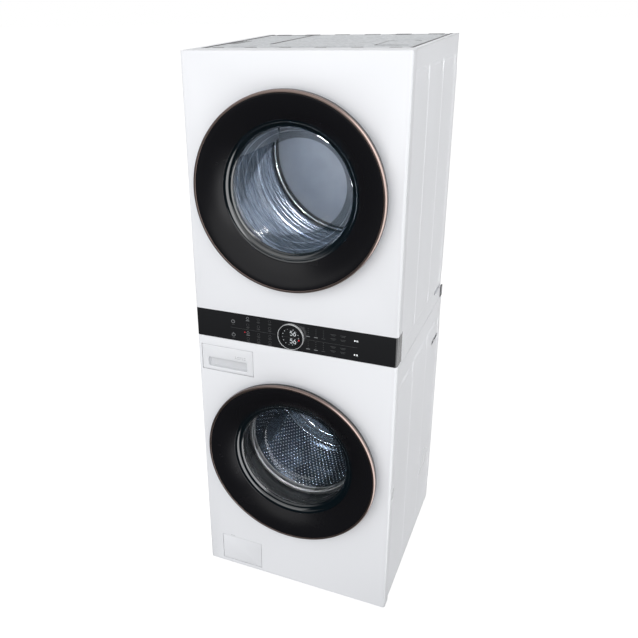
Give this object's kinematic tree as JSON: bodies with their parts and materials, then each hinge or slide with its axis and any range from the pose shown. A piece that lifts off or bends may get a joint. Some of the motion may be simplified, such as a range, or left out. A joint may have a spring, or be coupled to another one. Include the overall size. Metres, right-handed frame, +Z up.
{
  "type": "washer dryer stack",
  "caption": "Stacked front-loading washer and tumble dryer with round dished doors, a shared control band, detergent drawer and drain filter flap.",
  "frame": {"origin": "centre of the overall footprint, on the floor under the feet", "axes": "+Z up, +X to the right when facing the doors, -Y out of the front"},
  "size_m": [0.686, 0.772, 1.889],
  "materials": {
    "white_enamel": "smooth gloss enamel",
    "galvanised_sheet": "dull zinc",
    "black_gloss": "polished black",
    "display_lens": "tinted lens with soft white figures",
    "steel": "plated",
    "grey_plastic": "fine moulded",
    "white_plastic": "satin",
    "black_plastic": "moulded",
    "grey_rubber": "soft matt",
    "black_rubber": "matt",
    "concrete": "cast",
    "copper": "enamelled windings",
    "stainless": "polished",
    "cast_aluminium": "as cast",
    "bronze_trim": "satin rose bronze",
    "door_glass": "clear moulded",
    "chrome_ring": "polished"
  },
  "bodies": {
    "root": {"base_pan": "galvanised_sheet", "lower_left_side": "white_enamel", "lower_right_side": "white_enamel", "lower_front_panel": "white_enamel", "lower_rear_panel": "galvanised_sheet", "deck": "white_enamel", "upper_left_side": "white_enamel", "upper_right_side": "white_enamel", "upper_front_panel": "white_enamel", "upper_rear_panel": "galvanised_sheet", "top_front_strip": "white_enamel", "top_plate": "galvanised_sheet", "control_fascia": "black_gloss", "display_module": "display_lens", "door_hardware": "steel", "dispenser_housing": "grey_plastic", "boot_gasket": "grey_rubber", "drain_pump": "grey_plastic", "inlet_valves": "grey_plastic", "damper_tubes": "black_plastic", "suspension_springs": "steel", "terminal_cover": "black_plastic", "dryer_front_bulkhead": "galvanised_sheet", "dryer_rear_bulkhead": "galvanised_sheet", "heater_box": "galvanised_sheet", "exhaust_duct": "galvanised_sheet", "dryer_motor": "black_plastic", "drive_belt": "black_rubber"},
    "tub": {"tub_front": "grey_plastic", "tub_rear": "grey_plastic", "tub_bearings": "steel", "counterweights": "concrete", "motor_stator": "copper", "damper_rods": "steel"},
    "wash_drum": {"washer_drum": "stainless", "drum_lifters": "stainless", "drum_spider": "cast_aluminium", "motor_rotor": "galvanised_sheet"},
    "dry_drum": {"dryer_drum": "stainless", "dryer_baffles": "grey_plastic"},
    "fan_shaft": {"blower_wheel": "grey_plastic"},
    "left_roller": {"roller_left": "black_rubber"},
    "right_roller": {"roller_right": "black_rubber"},
    "lower_door": {"lower_door_bezel": "black_gloss", "lower_door_trim": "bronze_trim", "lower_door_frame": "grey_plastic", "lower_door_glass": "door_glass"},
    "upper_door": {"upper_door_bezel": "black_gloss", "upper_door_trim": "bronze_trim", "upper_door_frame": "grey_plastic", "upper_door_glass": "door_glass"},
    "drawer": {"detergent_drawer": "white_plastic"},
    "dial": {"cycle_dial": "chrome_ring"},
    "flap": {"filter_flap": "white_plastic"},
    "drain_cap": {"filter_cap": "grey_plastic"},
    "lint_screen": {"lint_filter": "grey_plastic"},
    "foot_fl": {"foot_front_left": "black_rubber"},
    "foot_fr": {"foot_front_right": "black_rubber"},
    "foot_rl": {"foot_rear_left": "black_rubber"},
    "foot_rr": {"foot_rear_right": "black_rubber"}
  },
  "joints": [
    {"name": "lower_door_hinge", "type": "hinge", "parent": "root", "child": "lower_door", "pos_m": [-0.284, -0.368, 0.5545], "axis": [0, 0, -1], "range_deg": [0, 125]},
    {"name": "upper_door_hinge", "type": "hinge", "parent": "root", "child": "upper_door", "pos_m": [-0.284, -0.368, 1.49], "axis": [0, 0, -1], "range_deg": [0, 125]},
    {"name": "tub_bounce", "type": "slide", "parent": "root", "child": "tub", "axis": [0, 0, 1], "range_m": [-0.006, 0.006], "stiffness_N_per_m": 20000, "deforming": ["suspension_springs"]},
    {"name": "wash_drum_spin", "type": "hinge", "parent": "tub", "child": "wash_drum", "pos_m": [0, -0.042, 0.5545], "axis": [0, 1, 0], "continuous": true},
    {"name": "dry_drum_spin", "type": "hinge", "parent": "root", "child": "dry_drum", "pos_m": [0, -0.042, 1.49], "axis": [0, 1, 0], "continuous": true},
    {"name": "fan_shaft_spin", "type": "hinge", "parent": "root", "child": "fan_shaft", "pos_m": [0.17, 0.058, 1.07], "axis": [0, 1, 0], "continuous": true},
    {"name": "left_roller_spin", "type": "hinge", "parent": "root", "child": "left_roller", "pos_m": [-0.1867, -0.252, 1.22337], "axis": [0, 1, 0], "continuous": true},
    {"name": "right_roller_spin", "type": "hinge", "parent": "root", "child": "right_roller", "pos_m": [0.1867, -0.252, 1.22337], "axis": [0, 1, 0], "continuous": true},
    {"name": "drawer_slide", "type": "slide", "parent": "root", "child": "drawer", "axis": [0, -1, 0], "range_m": [0, 0.21]},
    {"name": "dial_turn", "type": "hinge", "parent": "root", "child": "dial", "pos_m": [0, -0.347, 1.0227], "axis": [0, -1, 0], "continuous": true},
    {"name": "flap_hinge", "type": "hinge", "parent": "root", "child": "flap", "pos_m": [-0.209, -0.339, 0.033], "axis": [1, 0, 0], "range_deg": [0, 88]},
    {"name": "drain_cap_turn", "type": "hinge", "parent": "root", "child": "drain_cap", "pos_m": [-0.209, -0.307, 0.084], "axis": [0, -1, 0], "range_deg": [0, 90]},
    {"name": "lint_filter_lift", "type": "slide", "parent": "root", "child": "lint_screen", "axis": [0, 0, 1], "range_m": [0, 0.018]},
    {"name": "foot_fl_turn", "type": "hinge", "parent": "root", "child": "foot_fl", "pos_m": [-0.306, -0.277, 0.02], "axis": [0, 0, 1], "continuous": true},
    {"name": "foot_fr_turn", "type": "hinge", "parent": "root", "child": "foot_fr", "pos_m": [0.306, -0.277, 0.02], "axis": [0, 0, 1], "continuous": true},
    {"name": "foot_rl_turn", "type": "hinge", "parent": "root", "child": "foot_rl", "pos_m": [-0.306, 0.288, 0.02], "axis": [0, 0, 1], "continuous": true},
    {"name": "foot_rr_turn", "type": "hinge", "parent": "root", "child": "foot_rr", "pos_m": [0.306, 0.288, 0.02], "axis": [0, 0, 1], "continuous": true}
  ],
  "couplings": [
    {"joint": "fan_shaft_spin", "follows": "dry_drum_spin", "ratio": 24.226},
    {"joint": "left_roller_spin", "follows": "dry_drum_spin", "ratio": -12},
    {"joint": "right_roller_spin", "follows": "dry_drum_spin", "ratio": -12}
  ]
}
